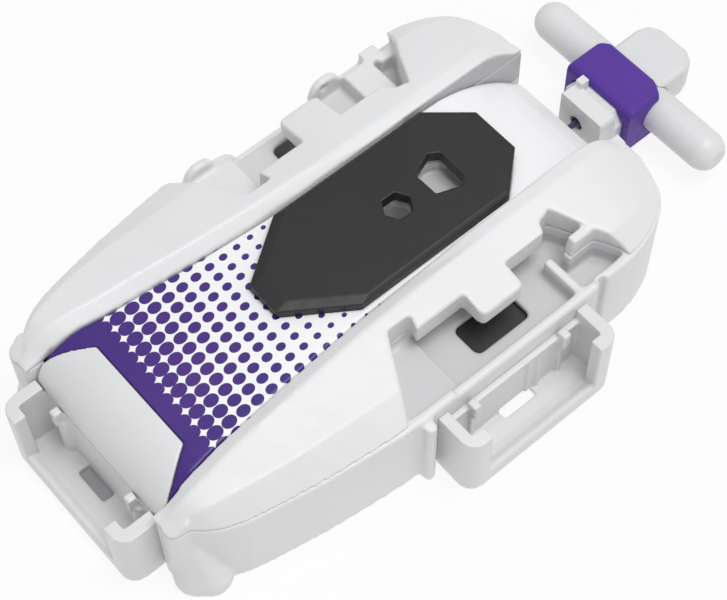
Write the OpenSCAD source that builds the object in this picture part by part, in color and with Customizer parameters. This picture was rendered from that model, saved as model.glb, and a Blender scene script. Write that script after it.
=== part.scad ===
// Handheld string-pull launcher for spinning tops.
// A two-part housing with a raised dark panel and a printed deck, two
// accessory trays, a geared string spool with a recoil spring, a launch hub
// on the underside and a T-shaped pull handle on a string.
// Frame: +Y points from the nose to the pull handle, +Z up, the origin is
// the axis of the launch hub on the plane that the base rests on.

/* [Housing] */
// Height of the parting line above the base
part_z = 21.3; // [21:0.1:21.6]
// Wall thickness of the housing
wall = 2; // [1.8:0.1:2.2]
// Thickness of the printed deck plate
deck_t = 1.6; // [1.4:0.1:1.7]
// Gap between neighbouring covers
seam = 0.15; // [0.1:0.05:0.2]
// Radius of the launch recess in the base
recess_r = 17; // [16.5:0.1:17.5]
// Depth of the launch recess in the base
recess_d = 5; // [4.9:0.1:5.1]

/* [Panel] */
// Half width of the dark panel
panel_hw = 13; // [12.8:0.1:13.2]
// Thickness of the dark panel
panel_t = 2.8; // [2.6:0.1:2.9]

/* [Trays] */
// Length of an accessory tray along the wall that carries it
tray_l = 38; // [37.6:0.1:38.4]
// How far an accessory tray stands out from the wall
tray_d = 9.5; // [9.3:0.1:9.7]
// Height of the tray's end arms
tray_h = 18; // [17.8:0.1:18.2]
// Height of the tray's outer lip
rail_h = 3.8; // [3.5:0.1:4.2]
// Thickness of the tray's walls
tray_w = 2.5; // [2.3:0.1:2.6]

/* [Gear train] */
// Tooth size: pitch diameter divided by the tooth count
gear_m = 1; // [1:0.01:1]
// Teeth of the gear on the string spool
spool_teeth = 40; // [40:1:40]
// Teeth of the idler gear
idler_teeth = 14; // [14:1:14]
// Teeth of the gear on the launch hub
hub_teeth = 12; // [12:1:12]
// Radial play of shafts in their bores
play = 0.05; // [0.03:0.01:0.08]

/* [String and handle] */
// Radius of the pull string
string_r = 0.7; // [0.6:0.05:0.75]
// Half length of the handle's cross bar
bar_hl = 25.9; // [25:0.1:27]
// Radius of the cross bar
bar_r = 4.4; // [4.3:0.1:4.5]

/* [Hidden] */
$fn = 64;
e = 0.01;
string_z = 8;                 // height of the string and of the cross bar
spool_x = 8;                  // the string leaves the spool at x = 0
spool_y = 38;
gear_z = 9.6;                 // underside of the gear train
gear_h = 3;
plate_z = 13;                 // underside of the gear plate
plate_t = 1.2;
panel_z = 25.1;               // floor of the panel's pocket in the deck
nose_y = -49.6;               // front wall, behind the front tray
side_x = 36.5;                // side wall, behind the side trays
tray_y = 19.7;                // middle of the side trays
tail_y = 67.5;

// ---------- plan and section of the housing ----------
// half width of the deck seam, its height, the crease, the outer edge of the
// top faces and the parting line, each against Y
T_xs = [[-52, 18.6], [-48.4, 19.1], [-45, 18.9], [-39.6, 18.4], [-34.9, 17.6], [-24.3, 16.6], [-13.5, 15.6], [2.7, 14.4], [30, 13.9], [70, 13.8]];
T_zs = [[-52, 21.5], [-50, 21.8], [-48.4, 22.4], [-45, 24.6], [-42, 25.6], [-39.6, 25.8], [2.7, 25.9], [20, 26.5], [35, 27.5], [55, 27.8], [59, 27.2], [62, 25.9], [65, 23.6], [67, 21.8], [69, 21.4]];
T_zc = [[-52, 21.6], [-50.5, 23], [-49, 24.6], [-47, 25.9], [-45, 26.7], [-40, 27.5], [-24, 27.8], [2.7, 27.6], [40, 28], [55, 28.1], [59, 27.6], [62, 26.3], [65, 24], [67, 22], [69, 21.4]];
T_xo = [[-52, 22], [-50.5, 23], [-49, 23.9], [-45, 25.9], [-36.8, 27.6], [-26.8, 28.9], [-14.8, 29.4], [-3, 30.1], [46, 30.8], [52, 31], [57, 30.4], [60, 29.2], [62, 27.8], [64, 25.6], [66, 22.4], [69, 18.5]];
T_zo = [[-52, 21.5], [-50.5, 22.6], [-49, 24], [-47, 25.4], [-45, 26.1], [-36.8, 26.8], [-26.8, 26.4], [-14.8, 25.6], [-3, 25], [46, 25.2], [55, 25.2], [59, 24.7], [62, 24], [65, 22.8], [67, 21.8], [69, 21.4]];
T_xp = [[-52, 22.8], [-50.5, 24], [-49.1, 25], [-48, 26], [-46.8, 27.3], [-44.2, 29.2], [-40.3, 30.9], [-35, 32.1], [-24, 34.2], [-9, 36.1], [-2, 36.5], [46, 36.5], [50, 36.4], [54, 35.8], [57, 34.9], [59.5, 33.9], [62, 32.5], [64, 31], [65.5, 29.2], [66.5, 27.4], [67.3, 25.2], [68, 22.6], [68.6, 19.4]];
T_zd = [[-52, 19.5], [-50.4, 20], [-48.4, 21.7], [-45, 23.9], [-42, 25.2], [-39.5, 25.6], [2.7, 25.5], [40, 25.9], [45, 25.8], [48, 25.2], [51, 24.4], [54, 23.2], [58, 21], [62.6, 17.7], [66, 14.5], [68, 12.4]];
// table values, rounded a little where the table turns
function sm(y, t) = (lookup(y - 1.1, t) + 2 * lookup(y, t) + lookup(y + 1.1, t)) / 4;
function xs(y) = lookup(y, T_xs);
function zs(y) = sm(y, T_zs);
function xc(y) = xs(y) + 2.9;
function zc(y) = sm(y, T_zc);
function xo(y) = sm(y, T_xo);
function zo(y) = sm(y, T_zo);
function xp(y) = sm(y, T_xp);
function zd(y) = sm(y, T_zd);
STA = [-52, -51.3, -50.5, -49.8, -49, -48.1, -47, -46, -45, -43.6, -42, -39.6, -35, -30, -24.3, -19, -13.5, -8, -2, 10, 30, 46, 49, 52, 54, 56, 58, 59.5, 61, 62.3, 63.6, 64.8, 65.5, 66.2, 67, 67.7, 68.2, 68.6];
STI = [-46, -45, -42, -39.6, -35, -24.3, -13.5, -2, 10, 30, 46, 52, 55, 57, 59, 61, 63];

// solid through equal-count closed sections, each a list of [x, z] at its y
module loft(ys, secs) {
    n = len(secs[0]);
    m = len(ys);
    pts = [for (i = [0 : m - 1]) for (p = secs[i]) [p[0], ys[i], p[1]]];
    side = [for (i = [0 : m - 2]) for (j = [0 : n - 1]) let (k = (j + 1) % n)
        each [[i * n + j, (i + 1) * n + k, i * n + k], [i * n + j, (i + 1) * n + j, (i + 1) * n + k]]];
    first = [for (j = [0 : n - 1]) j];
    last = [for (j = [0 : n - 1]) m * n - 1 - j];
    polyhedron(points = pts, faces = concat(side, [first, last]), convexity = 8);
}
function mirror_sec(r) = concat([for (p = r) [-p[0], p[1]]], [for (i = [len(r) - 1 : -1 : 0]) r[i]]);
function valley(y) = max(zd(y) - deck_t - seam, part_z + 0.6);
function outer_sec(y) = mirror_sec([[xp(y), part_z], [xo(y), zo(y)], [xc(y), zc(y)], [xs(y), max(zs(y), valley(y) + 0.3)], [xs(y), valley(y)]]);
function low(z) = max(z, part_z - 0.8);
function inner_sec(y) = mirror_sec([[xp(y) - 2.4, part_z - 1], [xo(y) - 1.3, low(zo(y) - 2.1)], [xc(y), low(zc(y) - 2)], [xs(y) + wall, low(zs(y) - 2)], [xs(y) + wall - 0.02, low(valley(y) - 1.8)]]);
module outer_body() loft(STA, [for (y = STA) outer_sec(y)]);
module inner_body() loft(STI, [for (y = STI) inner_sec(y)]);

// plan of the lower housing
SIDE = concat([[19.2, nose_y], [19.2, -51], [20.4, -52]], [for (y = STA) [xp(y), y]], [[13.8, 68.6], [13.8, tail_y]]);
module plan2d() polygon(concat(SIDE, [for (i = [len(SIDE) - 1 : -1 : 0]) [-SIDE[i][0], SIDE[i][1]]]));
// plan of one side recess and of the ledge and tab that stand over it
REC = [[20.2, 2.5], [35.4, -5.6], [50, -13.5], [50, 51], [36.6, 50.7], [33.4, 50.2], [30.3, 48.7], [27.6, 47], [20.1, 43.2]];
module rec2d(s) polygon([for (p = REC) [s * p[0], p[1]]]);
function tab(x, y0, y1) = concat([for (a = [-90 : 30 : 0]) [x - 1.2 + 1.2 * cos(a), y0 + 1.2 + 1.2 * sin(a)]],
    [for (a = [0 : 30 : 90]) [x - 1.2 + 1.2 * cos(a), y1 - 1.2 + 1.2 * sin(a)]]);
function ledge(s) = concat([[18, 6.2], [18.9, 6.2], [20.6, 7.8], [23.2, 7], [23.2, s > 0 ? 18.6 : 18.3]],
    s > 0 ? tab(28.8, 18.6, 29) : tab(31.2, 18.3, 27.9),
    [[23.2, s > 0 ? 29 : 27.9], [23.2, 39.1], [21, 40], [20.4, 42.6], [18, 43]]);
module ledge2d(s) polygon([for (p = ledge(s)) [s * p[0], p[1]]]);
// plan of the lugs at the tips of the nose
LUG = [[21.7, -51.5], [22.4, -52.3], [24.2, -52.2], [25.3, -51.2], [25.7, -48.2], [23.8, -47.1], [21.7, -48.2]];
module lug2d(s) polygon([for (p = LUG) [s * p[0], p[1]]]);
// wells under the panel's openings: x, y, radius, floor
WELLS = [[1.06, 21.64, 3.4, 16.2], [0.76, 32.6, 5.3, 20.4]];
function sides() = [-1, 1];

// ---------- screw places ----------
CASE_SCREWS = [[-23.5, -42], [23.5, -42], [-22, 61.5], [22, 61.5]];
PLATE_SCREWS = [[-15, -6], [-15, 26], [15, -8]];

// ---------- gears ----------
pa = 25;
function inv(a) = tan(a) - a * PI / 180;
function half_tooth(z, r) = let (rp = gear_m * z / 2, rb = rp * cos(pa), al = acos(min(1, rb / max(r, rb))))
    90 / z - 0.14 / (2 * rp) * 180 / PI + (inv(pa) - inv(al)) * 180 / PI;
module gear2d(z) {
    rp = gear_m * z / 2;
    rf = rp - 1.05 * gear_m;
    ra = rp + 0.8 * gear_m;
    rs = [for (i = [0 : 4]) rf + (ra - rf) * i / 4];
    polygon([for (t = [0 : z - 1]) each concat(
        [for (i = [0 : 4]) rs[i] * [cos(360 / z * t - half_tooth(z, rs[i])), sin(360 / z * t - half_tooth(z, rs[i]))]],
        [for (i = [4 : -1 : 0]) rs[i] * [cos(360 / z * t + half_tooth(z, rs[i])), sin(360 / z * t + half_tooth(z, rs[i]))]])]);
}
// the idler sits where its two centre distances meet
c1 = gear_m * (spool_teeth + idler_teeth) / 2 + 0.1;
c2 = gear_m * (idler_teeth + hub_teeth) / 2 + 0.1;
d12 = norm([spool_x, spool_y]);
a_line = atan2(spool_y, spool_x) - acos((c2 * c2 + d12 * d12 - c1 * c1) / (2 * c2 * d12));
idler_x = c2 * cos(a_line);
idler_y = c2 * sin(a_line);
th1 = atan2(idler_y - spool_y, idler_x - spool_x);       // spool to idler
th2 = atan2(-idler_y, -idler_x);                         // idler to hub
ph_spool = th1;                                          // a tooth points at the idler
ph_idler = th1 + 180 - 0.5 * 360 / idler_teeth;
p_idler = (th2 - ph_idler) / (360 / idler_teeth);
ph_hub = th2 + 180 - (0.5 - p_idler) * 360 / hub_teeth;

// ---------- housing ----------
module upper_shell() color("gainsboro") difference() {
    union() {
        upper_body();
        for (w = WELLS) translate([w[0], w[1], w[3]]) cylinder(r = w[2] + 0.8, h = 23 - w[3]);
    }
    for (w = WELLS) translate([w[0], w[1], w[3] + 0.9]) cylinder(r = w[2], h = 10);
}
module upper_body() difference() {
    union() {
        outer_body();
        // lugs at the tips of the nose, their tops sloping
        for (s = sides()) hull() intersection() {
            translate([0, 0, part_z]) linear_extrude(6) lug2d(s);
            rotate([90, 0, 90]) translate([0, 0, -30]) linear_extrude(60)
                polygon([[-54, part_z - 1], [-54, 21.5], [-51.8, 21.9], [-48.6, 24.2], [-46, 25], [-46, part_z - 1]]);
        }
    }
    // everything that is hollow, less the walls, ledges and posts left standing
    difference() {
        union() {
            inner_body();
            for (s = sides()) translate([0, 0, part_z - 2]) linear_extrude(20) rec2d(s);
            // open tail between the pods, closed by the deck
            translate([-13.8, 52, part_z - 2]) cube([27.6, 20, 20]);
        }
        // walls around the side recesses
        for (s = sides()) translate([0, 0, part_z - 3]) linear_extrude(22) difference() {
            offset(delta = 1.8) rec2d(s);
            rec2d(s);
        }
        // ledges and tabs over the side recesses
        for (s = sides()) translate([0, 0, 20]) linear_extrude(22) ledge2d(s);
        // inner walls of the pods at the tail
        for (s = sides()) translate([s > 0 ? 13.8 : -15.6, 50, part_z - 3]) cube([1.8, 17.8, 22]);
        // posts that take the housing screws
        for (p = CASE_SCREWS) hull() {
            translate([p[0], p[1], part_z - 3]) cylinder(r = 3, h = 1, $fn = 32);
            translate([p[0], p[1], part_z + 12]) cylinder(r = 3.6, h = 1, $fn = 32);
        }
        // short rib on the right recess' end wall, its front edge sloping back
        hull() {
            translate([26.4, 42.4, 24]) cube([2, 6, 1.5]);
            translate([26.6, 41.4, part_z - 3]) cube([2, 7, 1]);
        }
        // thickened foot of the inner recess walls
        for (s = sides()) hull() {
            translate([s * 18.6 - 0.9, 4, part_z - 3]) cube([1.8, 38, 5]);
            translate([s * 18.8 - 0.9, 6, part_z - 3]) cube([1.8, 34, 6]);
        }
    }
    for (p = CASE_SCREWS) translate([p[0], p[1], part_z - 1]) cylinder(r = 1.2, h = 3.4);
    // room for the nose cover
    translate([-19.3, -60, part_z - 3]) cube([38.6, 14.8, 12]);
}

// upper edge of the left wall as [y, z], with its two round lugs
LEFT_TOP = concat([[-6.4, 30], [-6.4, 21.2], [-2.7, 17.5]],
    [for (a = [170 : -20 : 10]) [1.2 + 3.7 * cos(a), 17.7 + 3.7 * sin(a)]],
    [[5.1, 18.4], [8.3, 17.6], [9.8, 16], [10.8, 13.9], [29.7, 13.9], [29.7, 17.4]],
    [for (a = [170 : -20 : 10]) [33.75 + 3.9 * cos(a), 17.5 + 3.9 * sin(a)]],
    [[37.8, 17.4], [43.5, 17.4], [43.5, 20.2], [47.5, 20.2], [47.5, 17.3], [51.6, 17.3], [51.6, 30]]);
module lower_shell() color("gainsboro") difference() {
    union() {
        difference() {
            linear_extrude(part_z) plan2d();
            translate([0, 0, wall]) linear_extrude(30) offset(delta = -wall) plan2d();
        }
        // recess for the top that is launched
        cylinder(r = recess_r + wall, h = recess_d + wall);
        // floors of the side recesses, the front part higher
        for (s = sides()) {
            translate([0, 0, 14.3]) linear_extrude(1.6) intersection() { rec2d(s); offset(delta = -1) plan2d(); }
            translate([0, 0, 17]) linear_extrude(1.6) intersection() {
                rec2d(s);
                offset(delta = -1) plan2d();
                translate([s > 0 ? 15 : -45, -20]) square([30, 28.1]);
            }
            translate([0, 0, 14.3]) linear_extrude(4.3) intersection() {
                rec2d(s);
                offset(delta = -1) plan2d();
                translate([s > 0 ? 15 : -45, 6.5]) square([30, 1.6]);
            }
            // cross wall at the rear of the right recess, platform at the rear of the left one
            translate([0, 0, 15.8]) linear_extrude(s > 0 ? 4.5 : 4.2) intersection() {
                rec2d(s);
                offset(delta = -1) plan2d();
                translate([s > 0 ? 25.5 : -45, 37.5]) square([s > 0 ? 9.6 : 21.5, s > 0 ? 1.9 : 7]);
            }
            // walls around the recess under the parting line
            translate([0, 0, 14.3]) linear_extrude(part_z - 14.3) difference() {
                intersection() { offset(delta = 1.8) rec2d(s); offset(delta = -0.3) plan2d(); }
                rec2d(s);
            }
            // block inside the left wall, behind the platform
            if (s < 0) translate([-35.4, 43.5, 15.8]) cube([2.6, 4, 4.35]);
            // foot of the short rib on the right recess' end wall
            if (s > 0) translate([26.6, 41.4, 15.7]) cube([2, 6.8, part_z - 15.7]);
            // ridge from there to the recess' rear wall
            if (s < 0) translate([-33.9, 45.9, 15.7]) cube([2.3, 4.6, 4.4]);
            // upright rib beside the right tray
            if (s > 0) {
                translate([side_x - 0.5, -3.4, 0]) cube([1.7, 2.4, 20.4]);
                translate([side_x + 1.2, -2.2, 0]) cylinder(r = 1.2, h = 20.4, $fn = 24);
            }
            // rounded foot at the front corner
            hull() for (q = [[24.8, -48.7], [26.8, -46.6]]) translate([s * q[0], q[1], 0]) cylinder(r = 4.2, h = 3, $fn = 40);
            hull() {
                for (q = [[24.8, -48.7], [26.8, -46.6]]) translate([s * q[0], q[1], 2.9]) cylinder(r = 4.15, h = 0.1, $fn = 40);
                translate([s * 24, -47.9, 16]) cylinder(r = 1.8, h = 0.2, $fn = 40);
            }
            // lug at the tip of the nose
            intersection() {
                linear_extrude(part_z) lug2d(s);
                rotate([90, 0, 90]) translate([0, 0, -30]) linear_extrude(60)
                    polygon([[-54, 9], [-51, 6], [-46, 5], [-46, part_z + 1], [-54, part_z + 1]]);
            }
            // inner walls of the tail pods, clear of the gear on the spool
            translate([s > 0 ? 13.8 : -15.6, 60.4, wall - e]) cube([1.8, 7.6, part_z - wall + e]);
            translate([s > 0 ? 13.8 : -15.6, 50, gear_z + gear_h + 0.8]) cube([1.8, 18, part_z - gear_z - gear_h - 0.8]);
        }
        for (p = CASE_SCREWS) translate([p[0], p[1], 0]) cylinder(r = 4, h = part_z - 0.8);
        for (p = PLATE_SCREWS) translate([p[0], p[1], wall - e]) cylinder(r = 2.6, h = plate_z - wall);
        translate([spool_x, spool_y, wall - e]) cylinder(r = 3.4, h = 2.9);
        translate([idler_x, idler_y, wall - e]) cylinder(r = 3, h = gear_z - 0.3 - wall);
    }
    // recess, hub opening and socket rim
    translate([0, 0, -1]) cylinder(r = recess_r, h = recess_d + 1);
    translate([0, 0, -1]) cylinder(r = 8.2, h = 12);
    // mouth for the deck at the tail
    translate([-13.8, 53, 11]) cube([27.6, 30, 20]);
    // mouth for the nose cover
    translate([-19.2, nose_y - 3, 16.2]) cube([38.4, 5.4, 10]);
    // rim of the right wall, and the slot behind it
    translate([30, 5.5, 20.5]) cube([10, 36.4, 4]);
    translate([side_x - 1.3, 42, 5]) cube([5, 1.7, 30]);
    // the left wall is cut down beside its recess
    translate([-34.4, 0, 0]) rotate([90, 0, -90]) linear_extrude(5) polygon([for (q = LEFT_TOP) [-q[0], q[1]]]);
    // floor holes under the tabs
    translate([26.95, 23, 10]) linear_extrude(8) offset(r = 1.3) square([4.7, 10.9], center = true);
    translate([-27.7, 23.1, 10]) linear_extrude(8) offset(r = 1.5) square([5.6, 10.2], center = true);
    // dimple in the rear lug of the left wall
    translate([-33, 32.9, 19.5]) rotate([0, -90, 0]) cylinder(r = 0.8, h = 6, $fn = 24);
    // gap under the right wall beside the tray's window
    translate([side_x - 1.9, 15.6, -1]) cube([3.7, 9.6, 2.6]);
    // string opening
    translate([0, tail_y + 1, string_z]) rotate([90, 0, 0]) cylinder(r = 2.4, h = 6);
    for (p = CASE_SCREWS) translate([p[0], p[1], -1]) {
        cylinder(r = 1.3, h = 30);
        cylinder(r = 2.7, h = 4);
    }
    for (p = PLATE_SCREWS) translate([p[0], p[1], 6]) cylinder(r = 0.9, h = 10);
    translate([spool_x, spool_y, 2.5]) cylinder(r = 1.5, h = 10);
    translate([idler_x, idler_y, 5.6]) cylinder(r = 1.5, h = 10);
}

// printed deck, curved down at the tail and at the two nose wings
function edge(y) = lookup(y, [[46, 0.45], [58, 1.5], [67.4, 2.2]]);   // rounding of its long edges
function deck_sec(y) = let (w = xs(y) - seam, z = zd(y), q = edge(y))
    mirror_sec([[w, z - max(deck_t, q + 0.5)], [w, z - q], [w - 0.29 * q, z - 0.29 * q], [w - q, z]]);
STD = [-48.3, -47, -45, -43.5, -42, -39.6, -34.9, -24.3, -13.5, 2.7, 20, 40, 43, 45, 48, 51, 54, 56, 58, 60, 62.6, 64.5, 66, 67.4];
FLAP = [[13.1, -39.4], [15.6, -43], [17.4, -45.6], [19, -48.3], [19, -51.2]];
module flap2d(g) offset(delta = -g) polygon(concat(FLAP, [for (i = [len(FLAP) - 1 : -1 : 0]) [-FLAP[i][0], FLAP[i][1]]]));
module centre_deck() color("ghostwhite") difference() {
    union() {
        loft(STD, [for (y = STD) deck_sec(y)]);
        // rear lip that covers the string opening's wall
        translate([-12.4, tail_y - 1.9, 11.2]) cube([24.8, 1.8, 1.6]);
    }
    translate([0, 0, 10]) linear_extrude(30) flap2d(0);
    // pocket and sockets for the panel
    translate([0, 0, panel_z]) linear_extrude(5) offset(delta = 0.1) panel2d();
    for (w = WELLS) translate([w[0], w[1], 20]) cylinder(r = w[2] + 0.1, h = 8);
}

PANEL = [[3.9, -10.6], [panel_hw, 2.5], [panel_hw, 39.6], [5.6, 48.1]];
module panel2d() polygon(concat(PANEL, [for (i = [3 : -1 : 0]) [-PANEL[i][0], PANEL[i][1]]]));
module top_panel() color([0.2, 0.2, 0.2]) translate([0, 0, panel_z]) difference() {
    union() {
        linear_extrude(panel_t - 0.5) panel2d();
        // bevelled top, wider at the two front facets
        hull() {
            translate([0, 0, panel_t - 0.6]) linear_extrude(0.1) panel2d();
            linear_extrude(panel_t) intersection() {
                offset(delta = -0.5) panel2d();
                translate([0, 2]) offset(delta = -0.8) panel2d();
            }
        }
    }
    translate([1.06, 21.64, -1]) rotate([0, 0, 30]) cylinder(r = 3.15, h = 5, $fn = 6);
    translate([0.56, -0.46, -1]) linear_extrude(5) polygon([[-2.8, 29.4], [3.2, 29.6], [5, 34.4], [3.8, 36.3], [-3.4, 36.5], [-4.7, 34.4]]);
}

// white cover that curves down over the nose
function nose_z(y, dz) = 16.5 + (9.2 - dz) * sqrt(max(0, 1 - pow((y + 39.3) / (11.1 - dz), 2)));
NY = [for (i = [0 : 12]) -39.3 - 11.1 * sin(90 * i / 12)];
NI = [for (i = [0 : 12]) -39.3 - 9.5 * sin(90 * i / 12)];
module nose_cover() color("gainsboro") intersection() {
    translate([0, 0, 5]) linear_extrude(30) flap2d(seam);
    rotate([90, 0, 90]) translate([0, 0, -20]) linear_extrude(40)
        polygon(concat([for (y = NY) [y, nose_z(y, 0)]], [for (i = [12 : -1 : 0]) [NI[i], nose_z(NI[i], 1.6)]]));
}

// ---------- accessory trays ----------
// one tray, its back on the plane x = 0, running along Y, standing out to +X
module tray(win, back, x0, z0) {
    hl = tray_l / 2;
    ret = tray_w + 0.3;
    difference() {
        union() {
            // floor, curved up to the outer lip
            translate([0, hl, 0]) rotate([90, 0, 0]) linear_extrude(tray_l)
                polygon([[0, 0], [tray_d, 0], [tray_d, rail_h - 0.5], [tray_d - 0.5, rail_h], [tray_d - 1.2, rail_h - 0.2], [tray_d - 2.4, rail_h - 1.1], [tray_d - 4, 2.2], [0, 2]]);
            // front arm with its return
            translate([0, -hl, 0]) cube([tray_d, tray_w, tray_h]);
            translate([tray_d - ret, -hl, 0]) cube([ret, 5.2, tray_h]);
            // rear arm with its return
            translate([0, hl - ret, 0]) cube([tray_d, ret, tray_h]);
            translate([tray_d - ret, hl - 5.4, 0]) cube([ret, 5.4, tray_h]);
            // back plate, with a thin ledge where the wall behind it is higher
            translate([0, -hl, 0]) cube([0.8, tray_l, back]);
            if (back < 16) translate([0, -hl, back - 1.1]) cube([1.3, tray_l, 1.1]);
            // two knobs and the ribs under them
            for (y = [-hl + 6.6, hl - 8.4]) {
                translate([0.6, y, 13]) cube([2.3, 1.8, 4.2]);
                if (back < 16) translate([0, y + 0.4, 0]) cube([1.7, 1, 13.5]);
                else translate([0, y + 0.9, 0]) linear_extrude(13.6) polygon([for (a = [-90 : 15 : 90]) [2.3 * cos(a), 2.3 * sin(a)]]);
            }
            if (back < 16) for (y = [hl - 13.4, hl - 16]) translate([0, y, 0]) cube([1.3, 0.8, back - 0.5]);
        }
        // window in the floor
        translate([x0, win - 4.1, z0]) cube([2.7, 8.2, 4]);
        if (z0 < 0) translate([-1, win - 4.8, -1]) cube([5, 9.6, 2]);
        // outer corners rounded
        for (s = [-1, 1]) translate([tray_d, s * hl, -1]) difference() {
            translate([-3.2, s > 0 ? -3.2 : -0.1, 0]) cube([3.3, 3.3, 30]);
            translate([-3.2, -s * 3.2, -1]) cylinder(r = 3.2, h = 40);
        }
    }
}
module front_tray() color("whitesmoke") difference() {
    translate([0, nose_y, 0]) rotate([0, 0, -90]) tray(-1.8, 16.15, 0.85, 0.8);
    // room for the lower edge of the nose cover
    translate([-19.2, nose_y - 1, 16.2]) cube([38.4, 3, 4]);
}
module right_tray() color("whitesmoke") translate([side_x, tray_y, 0]) tray(0.7, 15.6, -0.1, -1);

// ---------- launch hub ----------
module hub_bush() color("goldenrod") difference() {
    union() {
        translate([0, 0, recess_d]) cylinder(r = 8.2, h = 2);
        translate([0, 0, recess_d + wall]) cylinder(r = 9.6, h = 1.2);
    }
    translate([0, 0, 4]) cylinder(r = 6 + play, h = 8);
}
module launch_hub() color("dimgray") difference() {
    union() {
        translate([0, 0, 2.2]) cylinder(r = 11, h = 2.4);
        translate([0, 0, 1]) cylinder(r = 5.2, h = 2);
        translate([0, 0, 4]) cylinder(r = 6, h = gear_z - 4);
        translate([0, 0, gear_z - 1]) cylinder(r = 3.6, h = gear_h + 1);
        translate([0, 0, gear_z + gear_h - 1]) cylinder(r = 2.2, h = plate_z + plate_t - gear_z - gear_h + 1);
        // three claws that catch the top
        for (a = [30, 150, 270]) rotate([0, 0, a]) {
            rotate_extrude(angle = 34) translate([8.6, 0.6]) square([1.8, 2]);
            rotate_extrude(angle = 10) translate([8.6, 0.6]) square([3, 0.9]);
        }
    }
    translate([0, 0, -1]) cylinder(r = 2.5 + play, h = 12);
}
module hub_gear() color("ivory") translate([0, 0, gear_z]) difference() {
    linear_extrude(gear_h) rotate(ph_hub) gear2d(hub_teeth);
    translate([0, 0, -1]) cylinder(r = 3.6, h = gear_h + 2);
}
module ejector_pin() color("silver") {
    translate([0, 0, 0.4]) cylinder(r = 2.5, h = 5);
    translate([0, 0, 5.3]) cylinder(r = 1.1, h = 1.6);
}
// compression spring under the blind end of the hub's bore
module ejector_spring() color("lightsteelblue")
    coil(1.9, 0.3, 5.75, 10.65, 4.5);
module coil(r, w, z0, z1, turns) {
    n = turns * 16;
    k = 6;
    pts = [for (i = [0 : n]) let (a = 360 / 16 * i, z = z0 + (z1 - z0) * i / n)
        for (j = [0 : k - 1]) let (q = 360 / k * j, rr = r + w * cos(q)) [rr * cos(a), rr * sin(a), z + w * sin(q)]];
    f = [for (i = [0 : n - 1]) for (j = [0 : k - 1]) let (q = (j + 1) % k)
        each [[i * k + j, (i + 1) * k + j, (i + 1) * k + q], [i * k + j, (i + 1) * k + q, i * k + q]]];
    polyhedron(points = pts, faces = concat(f, [[for (j = [0 : k - 1]) j], [for (j = [0 : k - 1]) n * k + k - 1 - j]]), convexity = 10);
}

// ---------- gear train ----------
module idler_gear() color("ivory") translate([idler_x, idler_y, gear_z]) difference() {
    linear_extrude(gear_h) rotate(ph_idler) gear2d(idler_teeth);
    translate([0, 0, -1]) cylinder(r = 1.5 + play, h = gear_h + 2);
}
module idler_shaft() color("silver") translate([idler_x, idler_y, 5.6]) cylinder(r = 1.5, h = plate_z + plate_t - 5.6);
module spool_shaft() color("silver") translate([spool_x, spool_y, 2.5]) cylinder(r = 1.5, h = 17.4);
// dark plate over the gears, its wings under the floor holes of the recesses
module gear_plate() color([0.13, 0.13, 0.13]) difference() {
    translate([0, 0, plate_z]) linear_extrude(plate_t) polygon([[-18, -11], [18, -11], [18, 14], [33.4, 14], [33.4, 32.5], [18, 32.5], [17.6, 48], [-3, 48], [-8, 40], [-18, 32.5]]);
    translate([0, 0, 10]) cylinder(r = 2.2 + play, h = 10);
    translate([idler_x, idler_y, 10]) cylinder(r = 1.5, h = 10);
    translate([spool_x, spool_y, 10]) cylinder(r = 3.2, h = 10);
    for (p = PLATE_SCREWS) translate([p[0], p[1], 10]) cylinder(r = 1, h = 10);
}
module plate_screws() color("silver") for (p = PLATE_SCREWS) translate([p[0], p[1], 0]) difference() {
    union() {
        translate([0, 0, 7]) cylinder(r = 0.9, h = plate_z + plate_t + 0.1 - 7);
        translate([0, 0, plate_z + plate_t]) cylinder(r = 1.9, h = 1.2);
    }
    translate([-0.25, -2.5, plate_z + plate_t + 0.7]) cube([0.5, 5, 2]);
    translate([-2.5, -0.25, plate_z + plate_t + 0.7]) cube([5, 0.5, 2]);
}
module drive_gear() color("ivory") translate([spool_x, spool_y, gear_z]) difference() {
    linear_extrude(gear_h) rotate(ph_spool) gear2d(spool_teeth);
    translate([0, 0, -1]) cylinder(r = 4.2, h = gear_h + 2);
    for (a = [0 : 60 : 300]) rotate([0, 0, a]) translate([12, 0, -1]) cylinder(r = 3.6, h = gear_h + 2);
}
module string_spool() color("lightgray") translate([spool_x, spool_y, 0]) difference() {
    union() {
        translate([0, 0, 5.2]) cylinder(r = 12, h = 1);
        translate([0, 0, 5.2]) cylinder(r = 4.2, h = gear_z + gear_h - 5.2);
        translate([0, 0, gear_z + gear_h - 1]) cylinder(r = 2.6, h = 6.7);
    }
    translate([0, 0, 3]) cylinder(r = 1.5 + play, h = 20);
}
module string_winding() color([0.9, 0.9, 0.88]) translate([spool_x, spool_y, 6.2]) difference() {
    cylinder(r = 7.2, h = 3.3);
    translate([0, 0, -1]) cylinder(r = 4.2, h = 6);
}

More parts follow.
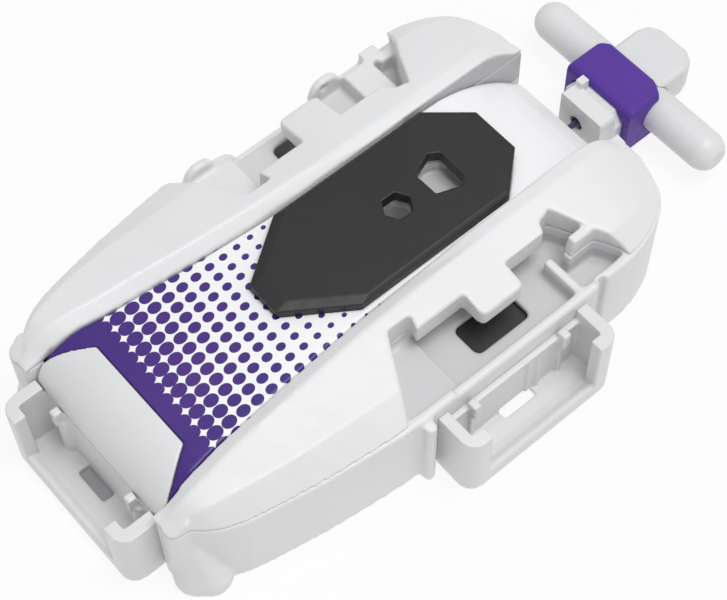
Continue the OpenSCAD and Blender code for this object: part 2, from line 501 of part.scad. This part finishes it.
// ---------- recoil spring ----------
module spring_case() color("dimgray") translate([spool_x, spool_y, plate_z + plate_t]) difference() {
    cylinder(r = 9.8, h = 4.4);
    translate([0, 0, 0.8]) cylinder(r = 9, h = 6);
    translate([0, 0, -1]) cylinder(r = 3.2, h = 6);
}
module spiral_band(r0, r1, turns, t) {
    n = turns * 20;
    function rr(i) = r0 + (r1 - r0) * i / n;
    polygon(concat([for (i = [0 : n]) rr(i) * [cos(18 * i), sin(18 * i)]],
        [for (i = [n : -1 : 0]) (rr(i) + t) * [cos(18 * i), sin(18 * i)]]));
}
module recoil_spring() color("steelblue") translate([spool_x, spool_y, plate_z + plate_t + 1])
    linear_extrude(3) spiral_band(3, 8.5, 7, 0.3);
module spring_cover() color("gray") translate([spool_x, spool_y, plate_z + plate_t + 4.4]) difference() {
    cylinder(r = 9.8, h = 1);
    translate([0, 0, -1]) cylinder(r = 1.5, h = 3);
}

// ---------- string ----------
module string_guide() color("silver") translate([0, tail_y, string_z]) rotate([90, 0, 0]) difference() {
    union() {
        cylinder(r = 2.4, h = wall);
        translate([0, 0, -0.9]) cylinder(r = 3.1, h = 0.9);
    }
    translate([0, 0, -3]) cylinder(r = 1.1, h = 8);
}
string_end = 77.4;
module pull_string() color([0.25, 0.2, 0.4]) translate([0, spool_y, string_z]) rotate([-90, 0, 0]) cylinder(r = string_r, h = string_end - spool_y, $fn = 16);

// ---------- handle ----------
bar_y = 87.3;
module bar_bore(r) translate([0, bar_y, string_z]) rotate([0, 90, 0]) translate([0, 0, -40]) cylinder(r = r, h = 80);
module handle_bar() color("whitesmoke") translate([0, bar_y, string_z]) difference() {
    rotate([0, 90, 0]) translate([0, 0, -bar_hl]) rotate_extrude()
        polygon([[0, 0], [bar_r - 1.9, 0], [bar_r - 1, 0.8], [bar_r - 0.4, 1.8], [bar_r, 3.2],
            [bar_r, 2 * bar_hl - 3.2], [bar_r - 0.4, 2 * bar_hl - 1.8], [bar_r - 1, 2 * bar_hl - 0.8], [bar_r - 1.9, 2 * bar_hl], [0, 2 * bar_hl]]);
    // screw hole with its counterbore
    translate([0, 0, -10]) cylinder(r = 1.1, h = 20);
    translate([0, 0, -10]) cylinder(r = 2, h = 6.8);
}
CAP = [[-10, 77], [10, 77], [10, 86.1], [4.2, 89.4], [-6.3, 89.4], [-10, 85.4]];
CAP_SIDE = [[77.9, 0], [77.9, 12.2], [78.2, 13.2], [78.8, 13.9], [79.8, 14.3], [87.6, 14.3], [88.5, 13.9], [88.9, 13.1], [88.9, 0]];
CAP_FRONT = [[9.3, 0], [9.3, 13.1], [9, 13.9], [8.3, 14.4], [6, 14.6]];
module handle_cap() color([0.37, 0.25, 0.62]) difference() {
    intersection() {
        translate([0, 0, 1.4]) linear_extrude(15) polygon(CAP);
        rotate([90, 0, 90]) translate([0, 0, -12]) linear_extrude(24) polygon(CAP_SIDE);
        translate([0, 92, 0]) rotate([90, 0, 0]) linear_extrude(16)
            polygon(concat(CAP_FRONT, [for (i = [len(CAP_FRONT) - 1 : -1 : 0]) [-CAP_FRONT[i][0], CAP_FRONT[i][1]]]));
    }
    // arch that holds the plug
    translate([0, 84.8, 0]) rotate([90, 0, 0]) linear_extrude(14.8)
        polygon([[-7.5, -1], [7.5, -1], [7.5, 9.9], [5.2, 12.6], [-5.2, 12.6], [-7.5, 9.9]]);
    translate([-7.5, 83, -1]) cube([15, 10, 9]);
    bar_bore(bar_r + 0.05);
    translate([0, bar_y, 10]) cylinder(r = 0.9, h = 3.8);
}
module handle_plug() color("gainsboro") difference() {
    union() {
        translate([0, 84.6, string_z]) rotate([90, 0, 0]) linear_extrude(8.6) polygon([[-7.3, -4.4], [-5.4, -5.8], [5.4, -5.8], [7.3, -4.4], [7.3, 1.6], [5, 4.4], [-5, 4.4], [-7.3, 1.6]]);
        translate([0, 76.2, string_z]) rotate([90, 0, 0]) linear_extrude(4.2) polygon([[-4.8, -3.2], [5.6, -3.4], [6.9, -1.5], [6.9, 4.8], [6.5, 5.7], [-4.6, 5.7], [-4.9, 5.2]]);
        translate([-4.4, 75.5, 12.1]) cube([1.8, 2.1, 3.3]);
    }
    translate([0, 71, string_z]) rotate([-90, 0, 0]) cylinder(r = 1.7, h = 6);
    translate([0, 76.5, string_z]) rotate([-90, 0, 0]) cylinder(r = 3, h = 10);
    bar_bore(bar_r + 0.05);
}
module string_knot() color([0.25, 0.2, 0.4]) translate([0, 79.2, string_z]) sphere(r = 1.8);
// thumb pad behind the bar
PAD = [[7.2, 87.5], [7.2, 96.6], [6.2, 99.2], [3.8, 100.6]];
module handle_pad() color("whitesmoke") difference() {
    hull() {
        translate([0, 0, 4.4]) linear_extrude(7.4) pad2d(0);
        translate([0, 0, 3.6]) linear_extrude(8.9) pad2d(0.8);
    }
    bar_bore(bar_r + 0.05);
    translate([-20, 80, -1]) cube([40, 8.85, 30]);
}
module pad2d(g) offset(delta = -g) polygon(concat(PAD, [for (i = [3 : -1 : 0]) [-PAD[i][0], PAD[i][1]]]));
module handle_screw() color("silver") translate([0, bar_y, 0]) difference() {
    union() {
        translate([0, 0, 3.8]) cylinder(r = 1.8, h = 1);
        translate([0, 0, 4.5]) cylinder(r = 0.9, h = 9.1);
    }
    translate([-0.2, -1.3, 3]) cube([0.4, 2.6, 1.3]);
    translate([-1.3, -0.2, 3]) cube([2.6, 0.4, 1.3]);
}

// ---------- housing screws ----------
module case_screws() color("silver") for (p = CASE_SCREWS) translate([p[0], p[1], 0]) difference() {
    union() {
        translate([0, 0, 1.2]) cylinder(r = 2.4, h = 1.8);
        translate([0, 0, 2]) cylinder(r = 1.2, h = part_z - 0.2);
    }
    translate([-0.3, -1.6, 0]) cube([0.6, 3.2, 2]);
    translate([-1.6, -0.3, 0]) cube([3.2, 0.6, 2]);
}

upper_shell();
lower_shell();
centre_deck();
top_panel();
nose_cover();
front_tray();
right_tray();
hub_bush();
launch_hub();
hub_gear();
ejector_pin();
ejector_spring();
idler_gear();
idler_shaft();
spool_shaft();
gear_plate();
plate_screws();
drive_gear();
string_spool();
string_winding();
spring_case();
recoil_spring();
spring_cover();
string_guide();
pull_string();
handle_bar();
handle_cap();
handle_plug();
handle_pad();
string_knot();
handle_screw();
case_screws();
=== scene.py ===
import bpy, bmesh, math
from mathutils import Matrix, Vector


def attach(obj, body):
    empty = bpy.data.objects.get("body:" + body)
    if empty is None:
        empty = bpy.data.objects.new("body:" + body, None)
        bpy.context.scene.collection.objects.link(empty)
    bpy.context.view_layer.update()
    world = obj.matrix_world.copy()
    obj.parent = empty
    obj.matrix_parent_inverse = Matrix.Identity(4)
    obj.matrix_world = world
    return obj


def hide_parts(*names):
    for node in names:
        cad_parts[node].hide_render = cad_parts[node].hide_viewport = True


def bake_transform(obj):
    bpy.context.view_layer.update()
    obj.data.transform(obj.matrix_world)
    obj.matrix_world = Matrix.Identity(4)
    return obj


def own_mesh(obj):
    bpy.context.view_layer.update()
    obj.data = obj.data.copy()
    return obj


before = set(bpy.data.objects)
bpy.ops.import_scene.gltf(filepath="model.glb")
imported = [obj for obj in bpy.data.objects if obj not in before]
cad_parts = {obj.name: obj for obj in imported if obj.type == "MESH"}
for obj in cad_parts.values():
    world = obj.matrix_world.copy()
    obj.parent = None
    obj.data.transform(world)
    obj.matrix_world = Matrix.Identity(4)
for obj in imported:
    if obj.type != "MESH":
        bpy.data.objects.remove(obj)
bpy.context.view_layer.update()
scene = bpy.context.scene
MM = 0.001

# ------------------------------------------------------------------ camera
AZ, EL, ROLL = math.radians(50.52), math.radians(59.26), math.radians(-1.32)
cam_data = bpy.data.cameras.new("camera")
cam = bpy.data.objects.new("camera", cam_data)
scene.collection.objects.link(cam)
scene.camera = cam
back = Vector((math.sin(AZ) * math.cos(EL), -math.cos(AZ) * math.cos(EL), math.sin(EL)))
right0 = Vector((math.cos(AZ), math.sin(AZ), 0))
up0 = back.cross(right0)
right = right0 * math.cos(ROLL) + up0 * math.sin(ROLL)
up = -right0 * math.sin(ROLL) + up0 * math.cos(ROLL)
cam.matrix_world = Matrix(((right.x, up.x, back.x, 0.1485), (right.y, up.y, back.y, -0.1086), (right.z, up.z, back.z, 0.3240), (0, 0, 0, 1)))
cam_data.sensor_width = 36
cam_data.lens = 1862.62 * 36 / 727
cam_data.shift_x = -0.0006
cam_data.shift_y = -0.0015
cam_data.clip_start = 0.01
cam_data.clip_end = 20


# ------------------------------------------------------------------ materials
def new_mat(name):
    m = bpy.data.materials.new(name)
    m.use_nodes = True
    nt = m.node_tree
    nt.nodes.clear()
    out = nt.nodes.new("ShaderNodeOutputMaterial")
    p = nt.nodes.new("ShaderNodeBsdfPrincipled")
    nt.links.new(p.outputs[0], out.inputs[0])
    return m, nt, p


def math_node(nt, op, a, b=None, clamp=False):
    n = nt.nodes.new("ShaderNodeMath")
    n.operation = op
    n.use_clamp = clamp
    for i, v in enumerate((a, b)):
        if v is None:
            continue
        if isinstance(v, (int, float)):
            n.inputs[i].default_value = v
        else:
            nt.links.new(v, n.inputs[i])
    return n.outputs[0]


def coords(nt):
    return nt.nodes.new("ShaderNodeTexCoord").outputs["Object"]


def noise(nt, co, scale, detail=2.0, rough=0.5, stretch=None):
    n = nt.nodes.new("ShaderNodeTexNoise")
    n.inputs["Scale"].default_value = scale
    n.inputs["Detail"].default_value = detail
    n.inputs["Roughness"].default_value = rough
    if stretch:
        mp = nt.nodes.new("ShaderNodeMapping")
        mp.inputs["Scale"].default_value = stretch
        nt.links.new(co, mp.inputs[0])
        co = mp.outputs[0]
    nt.links.new(co, n.inputs["Vector"])
    return n.outputs["Fac"]


def ramp(nt, fac, lo, hi, a, b):
    """fac from lo..hi to a..b, clamped"""
    n = nt.nodes.new("ShaderNodeMapRange")
    n.inputs[1].default_value = lo
    n.inputs[2].default_value = hi
    n.inputs[3].default_value = a
    n.inputs[4].default_value = b
    nt.links.new(fac, n.inputs[0])
    return n.outputs[0]


def mix_colour(nt, fac, a, b):
    n = nt.nodes.new("ShaderNodeMix")
    n.data_type = "RGBA"
    for v, k in ((fac, 0), (a, 6), (b, 7)):
        if isinstance(v, (int, float)):
            n.inputs[k].default_value = v
        elif isinstance(v, tuple):
            n.inputs[k].default_value = (*v, 1)
        else:
            nt.links.new(v, n.inputs[k])
    return n.outputs[2]


def bump(nt, p, layers):
    """layers of (height 0..1, depth in metres), chained into the normal"""
    last = None
    for h, depth in layers:
        b = nt.nodes.new("ShaderNodeBump")
        b.inputs["Distance"].default_value = depth
        b.inputs["Strength"].default_value = 1.0
        nt.links.new(h, b.inputs["Height"])
        if last is not None:
            nt.links.new(last, b.inputs["Normal"])
        last = b.outputs[0]
    nt.links.new(last, p.inputs["Normal"])


def inside(nt, co, box, soft=0.4):
    """1 inside a box of object coordinates in mm, 0 outside, with a soft edge"""
    s = nt.nodes.new("ShaderNodeSeparateXYZ")
    nt.links.new(co, s.inputs[0])
    f = None
    for k in range(3):
        lo, hi = box[0][k] * MM, box[1][k] * MM
        q = soft * MM
        g = math_node(nt, "MULTIPLY", ramp(nt, s.outputs[k], lo, lo + q, 0, 1), ramp(nt, s.outputs[k], hi - q, hi, 1, 0))
        f = g if f is None else math_node(nt, "MULTIPLY", f, g)
    return f


def plastic(name, colour, rough=0.42, grain=0.000012, grain_scale=6500, wear=0.06, spec=0.5, tone=0.03, sss=0.0, painted_shade_boxes=()):
    """moulded plastic: slow tone drift, fine spark-eroded grain, faint sink marks, paler worn edges, and painted shade
    inside the listed boxes
    """
    m, nt, p = new_mat(name)
    co = coords(nt)
    slow = noise(nt, co, 38, 3)
    fine = noise(nt, co, grain_scale, 2)
    scuff = noise(nt, co, 900, 4, 0.65, (1.0, 0.25, 1.0))
    dark = tuple(c * (1 - tone) for c in colour)
    lite = tuple(min(1, c * (1 + tone)) for c in colour)
    col = mix_colour(nt, ramp(nt, slow, 0.3, 0.7, 0, 1), dark, lite)
    geo = nt.nodes.new("ShaderNodeNewGeometry")
    edge = ramp(nt, geo.outputs["Pointiness"], 0.52, 0.60, 0, wear)
    col = mix_colour(nt, edge, col, tuple(min(1, c + 0.35 * (1 - c)) for c in colour))
    # painted shade: inside each listed box the colour is pulled towards a darker tint by the given strength
    for box, shade, tint in painted_shade_boxes:
        col = mix_colour(nt, math_node(nt, "MULTIPLY", inside(nt, co, box), shade), col, tint)
    nt.links.new(col, p.inputs["Base Color"])
    r = math_node(nt, "ADD", ramp(nt, scuff, 0.35, 0.75, rough - 0.05, rough + 0.07), ramp(nt, slow, 0.3, 0.7, -0.02, 0.02))
    nt.links.new(r, p.inputs["Roughness"])
    p.inputs["Specular IOR Level"].default_value = spec
    p.inputs["IOR"].default_value = 1.49
    if sss:
        p.inputs["Subsurface Weight"].default_value = sss
        p.inputs["Subsurface Radius"].default_value = (0.0012, 0.0011, 0.001)
        p.inputs["Subsurface Scale"].default_value = 1.0
    bump(nt, p, [(fine, grain), (noise(nt, co, 160, 2), 0.00004)])
    return m


WHITE = (0.72, 0.72, 0.722)
# the darker tint of the painted shade boxes
SHADE_GREY = (0.30, 0.30, 0.31)
m_shell = plastic("white_shell", WHITE, 0.40, painted_shade_boxes=(
    (((-14.3, 36, 13), (14.3, 69.4, 27.6)), 0.55, SHADE_GREY),          # painted shade on the inner walls of the tail pods
    (((19.5, -8, 14), (34.4, 52, 19)), 0.34, SHADE_GREY),               # painted shade on the recess floors
    (((-34.4, -8, 14), (-19.5, 52, 17)), 0.22, SHADE_GREY),
    (((-6, 16, 15), (7, 39, 22.5)), 0.45, SHADE_GREY),                  # painted shade in the wells under the panel
))
m_plug = plastic("white_plug", WHITE, 0.40, painted_shade_boxes=(
    (((-1.75, 72.1, 6.25), (1.75, 80, 9.75)), 1.0, (0.006, 0.005, 0.03)),   # painted shade inside the bore, in the cord's dark navy
))
m_tray = plastic("white_tray", (0.69, 0.69, 0.692), 0.36, painted_shade_boxes=(
    (((-6.2, -54.2, 0), (2.6, -49.8, 1.6)), 0.75, SHADE_GREY),          # painted shade in the pocket in the nose tray
))
m_grip = plastic("white_grip", (0.68, 0.68, 0.682), 0.45, grain=0.00003, grain_scale=3800)
m_cap = plastic("purple_cap", (0.092, 0.038, 0.295), 0.50, wear=0.07, tone=0.06, spec=0.22)
m_panel = plastic("dark_panel", (0.019, 0.019, 0.020), 0.46, grain=0.00002, grain_scale=4200, wear=0.05, tone=0.08, spec=0.4)
m_dark = plastic("dark_inner", (0.012, 0.012, 0.013), 0.5, wear=0.04, tone=0.1)
m_gear = plastic("gear_plastic", (0.66, 0.63, 0.54), 0.38)


def metal(name, colour, rough=0.3, stretch=(1, 1, 12), aniso=0.0):
    m, nt, p = new_mat(name)
    co = coords(nt)
    brush = noise(nt, co, 1500, 3, 0.6, stretch)
    tone = noise(nt, co, 220, 2)
    col = mix_colour(nt, ramp(nt, tone, 0.3, 0.7, 0, 1), tuple(c * 0.86 for c in colour), colour)
    nt.links.new(col, p.inputs["Base Color"])
    nt.links.new(ramp(nt, brush, 0.3, 0.7, rough - 0.07, rough + 0.12), p.inputs["Roughness"])
    p.inputs["Metallic"].default_value = 1.0
    bump(nt, p, [(brush, 0.000008)])
    return m


m_steel = metal("steel", (0.62, 0.62, 0.64), 0.30)
m_bush = metal("bronze_bush", (0.60, 0.40, 0.18), 0.42, (1, 1, 1))


def cord_mat(name, colour):
    m, nt, p = new_mat(name)
    co = coords(nt)
    w = nt.nodes.new("ShaderNodeTexWave")
    w.wave_type = "BANDS"
    w.bands_direction = "DIAGONAL"
    w.inputs["Scale"].default_value = 900
    w.inputs["Distortion"].default_value = 1.5
    nt.links.new(co, w.inputs["Vector"])
    strand = w.outputs["Fac"]
    nt.links.new(mix_colour(nt, strand, tuple(c * 0.6 for c in colour), tuple(min(1, c * 1.5) for c in colour)), p.inputs["Base Color"])
    nt.links.new(ramp(nt, noise(nt, co, 3000, 3), 0.3, 0.7, 0.6, 0.85), p.inputs["Roughness"])
    p.inputs["Sheen Weight"].default_value = 0.3
    bump(nt, p, [(strand, 0.00006)])
    return m


m_cord = cord_mat("string_cord", (0.035, 0.03, 0.09))


def deck_mat():
    """white satin deck with a plain violet nose band that breaks up into a halftone of round dots"""
    m, nt, p = new_mat("printed_deck")
    co = coords(nt)
    s = nt.nodes.new("ShaderNodeSeparateXYZ")
    nt.links.new(co, s.inputs[0])
    # the lattice of dots, a little longer along the deck than across it
    x = math_node(nt, "DIVIDE", s.outputs[0], MM)
    y = math_node(nt, "DIVIDE", s.outputs[1], MM)
    u = math_node(nt, "ADD", math_node(nt, "ADD", math_node(nt, "MULTIPLY", x, 0.3618), math_node(nt, "MULTIPLY", y, 0.0079)), -0.230)
    v = math_node(nt, "ADD", math_node(nt, "ADD", math_node(nt, "MULTIPLY", y, 0.3015), math_node(nt, "MULTIPLY", x, 0.0101)), 11.101)
    cu = math_node(nt, "ROUND", u)
    cv = math_node(nt, "ROUND", v)
    du = math_node(nt, "SUBTRACT", u, cu)
    dv = math_node(nt, "SUBTRACT", v, cv)
    d = math_node(nt, "SQRT", math_node(nt, "ADD", math_node(nt, "MULTIPLY", du, du), math_node(nt, "MULTIPLY", dv, dv)))
    # dot radius in pitches: over half near the band, shrinking row by row
    r = ramp(nt, cv, 0, 14, 0.54, 0.071)
    dots = ramp(nt, math_node(nt, "SUBTRACT", r, d), -0.012, 0.012, 0, 1)
    dots = math_node(nt, "MULTIPLY", dots, ramp(nt, cv, 13.4, 13.6, 1, 0))
    band = ramp(nt, v, 0.09, 0.11, 1, 0)
    ink = math_node(nt, "MAXIMUM", dots, band)
    slow = noise(nt, co, 60, 3)
    violet = mix_colour(nt, ramp(nt, slow, 0.3, 0.7, 0, 1), (0.036, 0.013, 0.175), (0.062, 0.016, 0.200))
    white = mix_colour(nt, ramp(nt, noise(nt, co, 40, 2), 0.3, 0.7, 0, 1), (0.82, 0.82, 0.825), (0.86, 0.86, 0.865))
    nt.links.new(mix_colour(nt, ink, white, violet), p.inputs["Base Color"])
    nt.links.new(ramp(nt, noise(nt, co, 1200, 4, 0.6), 0.3, 0.7, 0.30, 0.40), p.inputs["Roughness"])
    bump(nt, p, [(noise(nt, co, 6500, 2), 0.000008), (ink, 0.000012)])
    return m


m_deck = deck_mat()


# ------------------------------------------------------------------ pieces from the CAD solids
def joined_mesh(nodes):
    bm = bmesh.new()
    for n in nodes:
        bm.from_mesh(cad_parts[n].data)
    bmesh.ops.remove_doubles(bm, verts=bm.verts, dist=1e-7)
    me = bpy.data.meshes.new("tmp")
    bm.to_mesh(me)
    bm.free()
    return me


def mould(name, nodes, body, mat, voxel=0.35, it=3, ratio=1.0, cut=None):
    """the CAD solid with its edges and corners softened as a moulding's are"""
    ob = bpy.data.objects.new(name, joined_mesh(nodes))
    scene.collection.objects.link(ob)
    r = ob.modifiers.new("r", "REMESH")
    r.mode = "VOXEL"
    r.voxel_size = voxel * MM
    if it:
        s = ob.modifiers.new("s", "SMOOTH")
        s.factor = 0.5
        s.iterations = it
    if ratio < 1:
        d = ob.modifiers.new("d", "DECIMATE")
        d.ratio = ratio
    dg = bpy.context.evaluated_depsgraph_get()
    me = bpy.data.meshes.new_from_object(ob.evaluated_get(dg))
    ob.modifiers.clear()
    old = ob.data
    ob.data = me
    bpy.data.meshes.remove(old)
    me.name = name
    me.materials.clear()
    me.materials.append(mat)
    me.polygons.foreach_set("use_smooth", [True] * len(me.polygons))
    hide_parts(*nodes)
    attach(ob, body)
    print("piece", name, len(me.polygons))
    return ob


mould("upper_casing", ["upper_shell"], "housing", m_shell, 0.38, 3)
mould("lower_casing", ["lower_shell"], "housing", m_shell, 0.42, 3)
mould("printed_centre_deck", ["centre_deck"], "housing", m_deck, 0.30, 2)
mould("dark_top_panel", ["top_panel"], "housing", m_panel, 0.20, 2)
mould("curved_nose_cover", ["nose_cover"], "housing", m_tray, 0.25, 3)
mould("nose_tray", ["front_tray"], "housing", m_tray, 0.25, 5)
mould("right_side_tray", ["right_tray"], "housing", m_tray, 0.25, 5)
mould("grip_bar", ["handle_bar"], "handle", m_grip, 0.20, 2)
mould("grip_cap", ["handle_cap"], "handle", m_cap, 0.20, 2)
mould("grip_plug", ["handle_plug"], "handle", m_plug, 0.20, 2)
mould("grip_thumb_pad", ["handle_pad"], "handle", m_grip, 0.25, 6)

# ------------------------------------------------------------------ string and small spring
def tube(name, centre, radius, sides, mat, ripple=None):
    """a tube of rings round the points of centre; ripple(i, a) scales the radius"""
    bm = bmesh.new()
    pts = [Vector(c) for c in centre]
    rings = []
    ref = None
    for i, c in enumerate(pts):
        t = (pts[min(i + 1, len(pts) - 1)] - pts[max(i - 1, 0)]).normalized()
        if ref is None:
            ref = Vector((1, 0, 0)) if abs(t.x) < 0.9 else Vector((0, 0, 1))
        a = (ref - t * ref.dot(t)).normalized()
        ref = a
        b = t.cross(a)
        ring = []
        for k in range(sides):
            w = 2 * math.pi * k / sides
            r = radius * (ripple(i, w) if ripple else 1)
            ring.append(bm.verts.new(c + (a * math.cos(w) + b * math.sin(w)) * r))
        rings.append(ring)
    for i in range(len(rings) - 1):
        for k in range(sides):
            bm.faces.new((rings[i][k], rings[i][(k + 1) % sides], rings[i + 1][(k + 1) % sides], rings[i + 1][k]))
    bm.faces.new(rings[0][::-1])
    bm.faces.new(rings[-1])
    bmesh.ops.recalc_face_normals(bm, faces=bm.faces)
    me = bpy.data.meshes.new(name)
    bm.to_mesh(me)
    bm.free()
    me.materials.append(mat)
    me.polygons.foreach_set("use_smooth", [True] * len(me.polygons))
    ob = bpy.data.objects.new(name, me)
    scene.collection.objects.link(ob)
    return ob


# the string's straight run from the spool to the knot, with the braid's eight strands as ripples
s0, s1 = 0.0380, 0.0774
count = 260
run = [(0, s0 + (s1 - s0) * i / count, 0.008) for i in range(count + 1)]
string = tube("pull_string_run", run, 0.00066, 16, m_cord, lambda i, w: 1 + 0.055 * math.cos(4 * w + i * 0.55) * math.cos(4 * w - i * 0.55))
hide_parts("pull_string")
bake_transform(string)

# the ejector's coil spring, between the pin's shoulder and the hub
steps = 216
coil = []
for i in range(steps + 1):
    a = 2 * math.pi * 4.5 * i / steps
    coil.append((0.0019 * math.cos(a), 0.0019 * math.sin(a), 0.00575 + 0.0049 * i / steps))
spring = tube("ejector_coil_spring", coil, 0.0003, 10, m_steel)
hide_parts("ejector_spring")
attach(spring, "hub")
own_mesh(spring)

# the other CAD nodes keep their shape, with their own finish
FINISH = {
    "hub_bush": m_bush, "launch_hub": m_dark, "hub_gear": m_gear, "ejector_pin": m_steel,
    "idler_gear": m_gear, "idler_shaft": m_steel, "spool_shaft": m_steel, "gear_plate": m_dark, "plate_screws": m_steel,
    "drive_gear": m_gear, "string_spool": m_gear, "string_winding": m_cord, "spring_case": m_dark, "recoil_spring": m_steel,
    "spring_cover": m_dark, "string_guide": m_steel, "string_knot": m_cord, "handle_screw": m_steel,
    "case_screws": m_steel,
}
for n, mat in FINISH.items():
    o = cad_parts[n]
    o.data.materials.clear()
    o.data.materials.append(mat)

# ------------------------------------------------------------------ stage and light
def floor_mat():
    m, nt, p = new_mat("floor")
    co = coords(nt)
    c = mix_colour(nt, ramp(nt, noise(nt, co, 5, 3), 0.3, 0.7, 0, 1), (0.09, 0.09, 0.09), (0.11, 0.11, 0.11))
    nt.links.new(c, p.inputs["Base Color"])
    p.inputs["Roughness"].default_value = 0.9
    p.inputs["Specular IOR Level"].default_value = 0.1
    p.inputs["Emission Color"].default_value = (1, 1, 1, 1)
    p.inputs["Emission Strength"].default_value = 0.87
    return m


me = bpy.data.meshes.new("floor")
bm = bmesh.new()
bmesh.ops.create_circle(bm, cap_ends=True, radius=6, segments=64)
bm.to_mesh(me)
bm.free()
floor = bpy.data.objects.new("floor", me)
floor.location = (0, 0, -0.0002)
me.materials.append(floor_mat())
scene.collection.objects.link(floor)

world = bpy.data.worlds.new("world")
scene.world = world
world.use_nodes = True
bg = world.node_tree.nodes["Background"]
bg.inputs[0].default_value = (0.97, 0.98, 1.0, 1)
bg.inputs[1].default_value = 0.53


def area(name, at, to, size, power, size_y=None):
    l = bpy.data.lights.new(name, "AREA")
    l.energy = power
    l.size = size
    if size_y:
        l.shape = "RECTANGLE"
        l.size_y = size_y
    o = bpy.data.objects.new(name, l)
    o.location = at
    o.rotation_mode = "QUATERNION"
    o.rotation_quaternion = (Vector(to) - Vector(at)).to_track_quat("-Z", "Y")
    scene.collection.objects.link(o)
    return o


area("key", (0.20, 0.12, 0.95), (0, 0.02, 0.02), 0.55, 6.1)

scene.view_settings.view_transform = "Standard"
scene.view_settings.look = "None"
scene.view_settings.exposure = 0.0
scene.view_settings.gamma = 1.0
